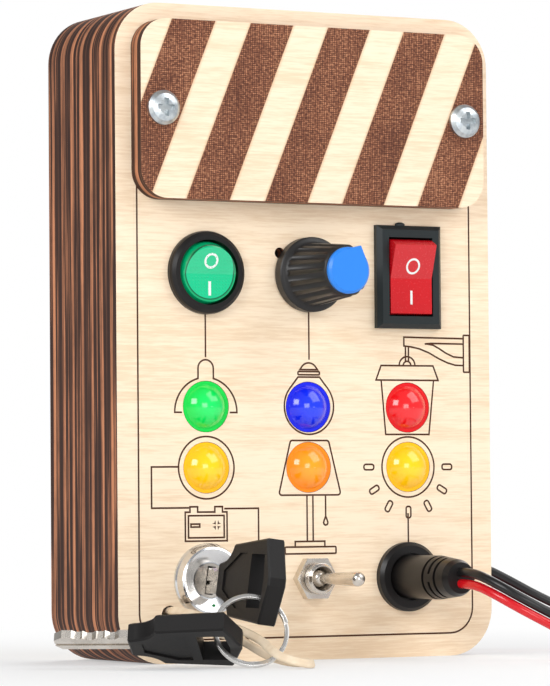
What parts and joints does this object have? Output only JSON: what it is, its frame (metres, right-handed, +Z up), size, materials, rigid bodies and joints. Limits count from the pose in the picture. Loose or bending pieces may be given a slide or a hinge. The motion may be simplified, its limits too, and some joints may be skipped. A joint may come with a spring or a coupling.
{
  "type": "wooden busy board",
  "caption": "Small plywood board with rocker switches, knob, toggle, key lock and plug that light coloured lamps",
  "frame": {"origin": "centre of the flat base, where the board stands", "axes": "+Z up, the front looks along -Y, +X to the right as seen from the front"},
  "size_m": [0.138, 0.0689, 0.13],
  "materials": {
    "plywood": "laser-cut birch plywood, pale faces, burnt edges",
    "nickel": "bright nickel plate",
    "zinc": "zinc plated steel",
    "chrome": "polished chrome",
    "steel": "satin steel",
    "black_plastic": "fine satin moulding",
    "black_gloss": "glossy moulding",
    "green_lens": "translucent green rocker",
    "red_rocker": "gloss red",
    "knob_black": "satin fluted knob",
    "knob_blue": "gloss blue cap",
    "lamp_green": "diffused resin",
    "lamp_blue": "diffused resin",
    "lamp_red": "diffused resin",
    "lamp_yellow": "diffused resin",
    "lamp_orange": "diffused resin",
    "brass": "tinned brass",
    "cell": "plain cell sleeve",
    "lead_black": "black insulation",
    "lead_red": "red insulation",
    "lace": "flat cream thong"
  },
  "bodies": {
    "root": {"front_panel": "plywood", "back_panel": "plywood", "cover_plate": "plywood", "frame_1": "plywood", "frame_2": "plywood", "frame_3": "plywood", "frame_4": "plywood", "frame_5": "plywood", "cover_screws": "zinc", "battery_holder": "black_plastic", "batteries": "cell", "battery_contacts": "steel", "round_switch_body": "black_gloss", "round_switch_terminals": "brass", "rect_switch_body": "black_gloss", "rect_switch_terminals": "brass", "pot_body": "steel", "pot_terminals": "brass", "pot_nut": "nickel", "toggle_body": "black_plastic", "toggle_bushing": "nickel", "toggle_nut": "nickel", "toggle_terminals": "brass", "lock_body": "chrome", "lock_nut": "nickel", "lock_terminals": "brass", "lace_knot": "lace", "led_green": "lamp_green", "led_blue": "lamp_blue", "led_red": "lamp_red", "led_yellow_left": "lamp_yellow", "led_orange": "lamp_orange", "led_yellow_right": "lamp_yellow", "led_legs": "steel", "dc_socket": "black_gloss", "dc_socket_nut": "nickel", "dc_socket_terminals": "brass", "lead_grommet": "black_plastic", "wiring_red": "lead_red", "wiring_black": "lead_black"},
    "round_rocker": {"round_rocker": "green_lens"},
    "rect_rocker": {"rect_rocker": "red_rocker"},
    "knob": {"pot_shaft": "steel", "knob_body": "knob_black", "knob_cap": "knob_blue"},
    "toggle_lever": {"toggle_lever": "nickel"},
    "lock_plug": {"lock_plug": "nickel"},
    "key_1": {"key_1_head": "black_plastic", "key_1_blade": "nickel"},
    "key_ring": {"key_ring": "steel", "lace": "lace"},
    "key_2": {"key_2_head": "black_plastic", "key_2_blade": "nickel"},
    "dc_plug": {"dc_plug_body": "black_gloss", "dc_plug_barrel": "nickel", "lead_black": "lead_black", "lead_red": "lead_red"}
  },
  "joints": [
    {"name": "round_rocker_tip", "type": "hinge", "parent": "root", "child": "round_rocker", "pos_m": [-0.023, -0.0152, 0.0769], "axis": [1, 0, 0], "range_deg": [-18, 0]},
    {"name": "rect_rocker_tip", "type": "hinge", "parent": "root", "child": "rect_rocker", "pos_m": [0.023, -0.0152, 0.0769], "axis": [1, 0, 0], "range_deg": [-18, 0]},
    {"name": "knob_turn", "type": "hinge", "parent": "root", "child": "knob", "pos_m": [0, -0.0154, 0.0769], "axis": [0, 1, 0], "range_deg": [-177, 123]},
    {"name": "toggle_flip", "type": "hinge", "parent": "root", "child": "toggle_lever", "pos_m": [0.0008, -0.0175, 0.0162], "axis": [0, 0, 1], "range_deg": [-28, 0]},
    {"name": "lock_turn", "type": "hinge", "parent": "root", "child": "lock_plug", "pos_m": [-0.023, -0.0154, 0.0162], "axis": [0, 1, 0], "range_deg": [-8, 82]},
    {"name": "key_1_slide", "type": "slide", "parent": "lock_plug", "child": "key_1", "axis": [0, -1, 0], "range_m": [0, 0.01]},
    {"name": "ring_swing", "type": "hinge", "parent": "key_1", "child": "key_ring", "pos_m": [-0.02365, -0.04003, 0.01151], "axis": [-0.9511, 0.309, 0], "range_deg": [0, 45]},
    {"name": "key_2_swing", "type": "hinge", "parent": "key_ring", "child": "key_2", "pos_m": [-0.03348, -0.03984, 0.00509], "axis": [-0.1776, 0.464, 0.8678], "range_deg": [0, 30]},
    {"name": "dc_plug_pull", "type": "slide", "parent": "root", "child": "dc_plug", "axis": [0, -1, 0], "range_m": [0, 0.0105]}
  ]
}
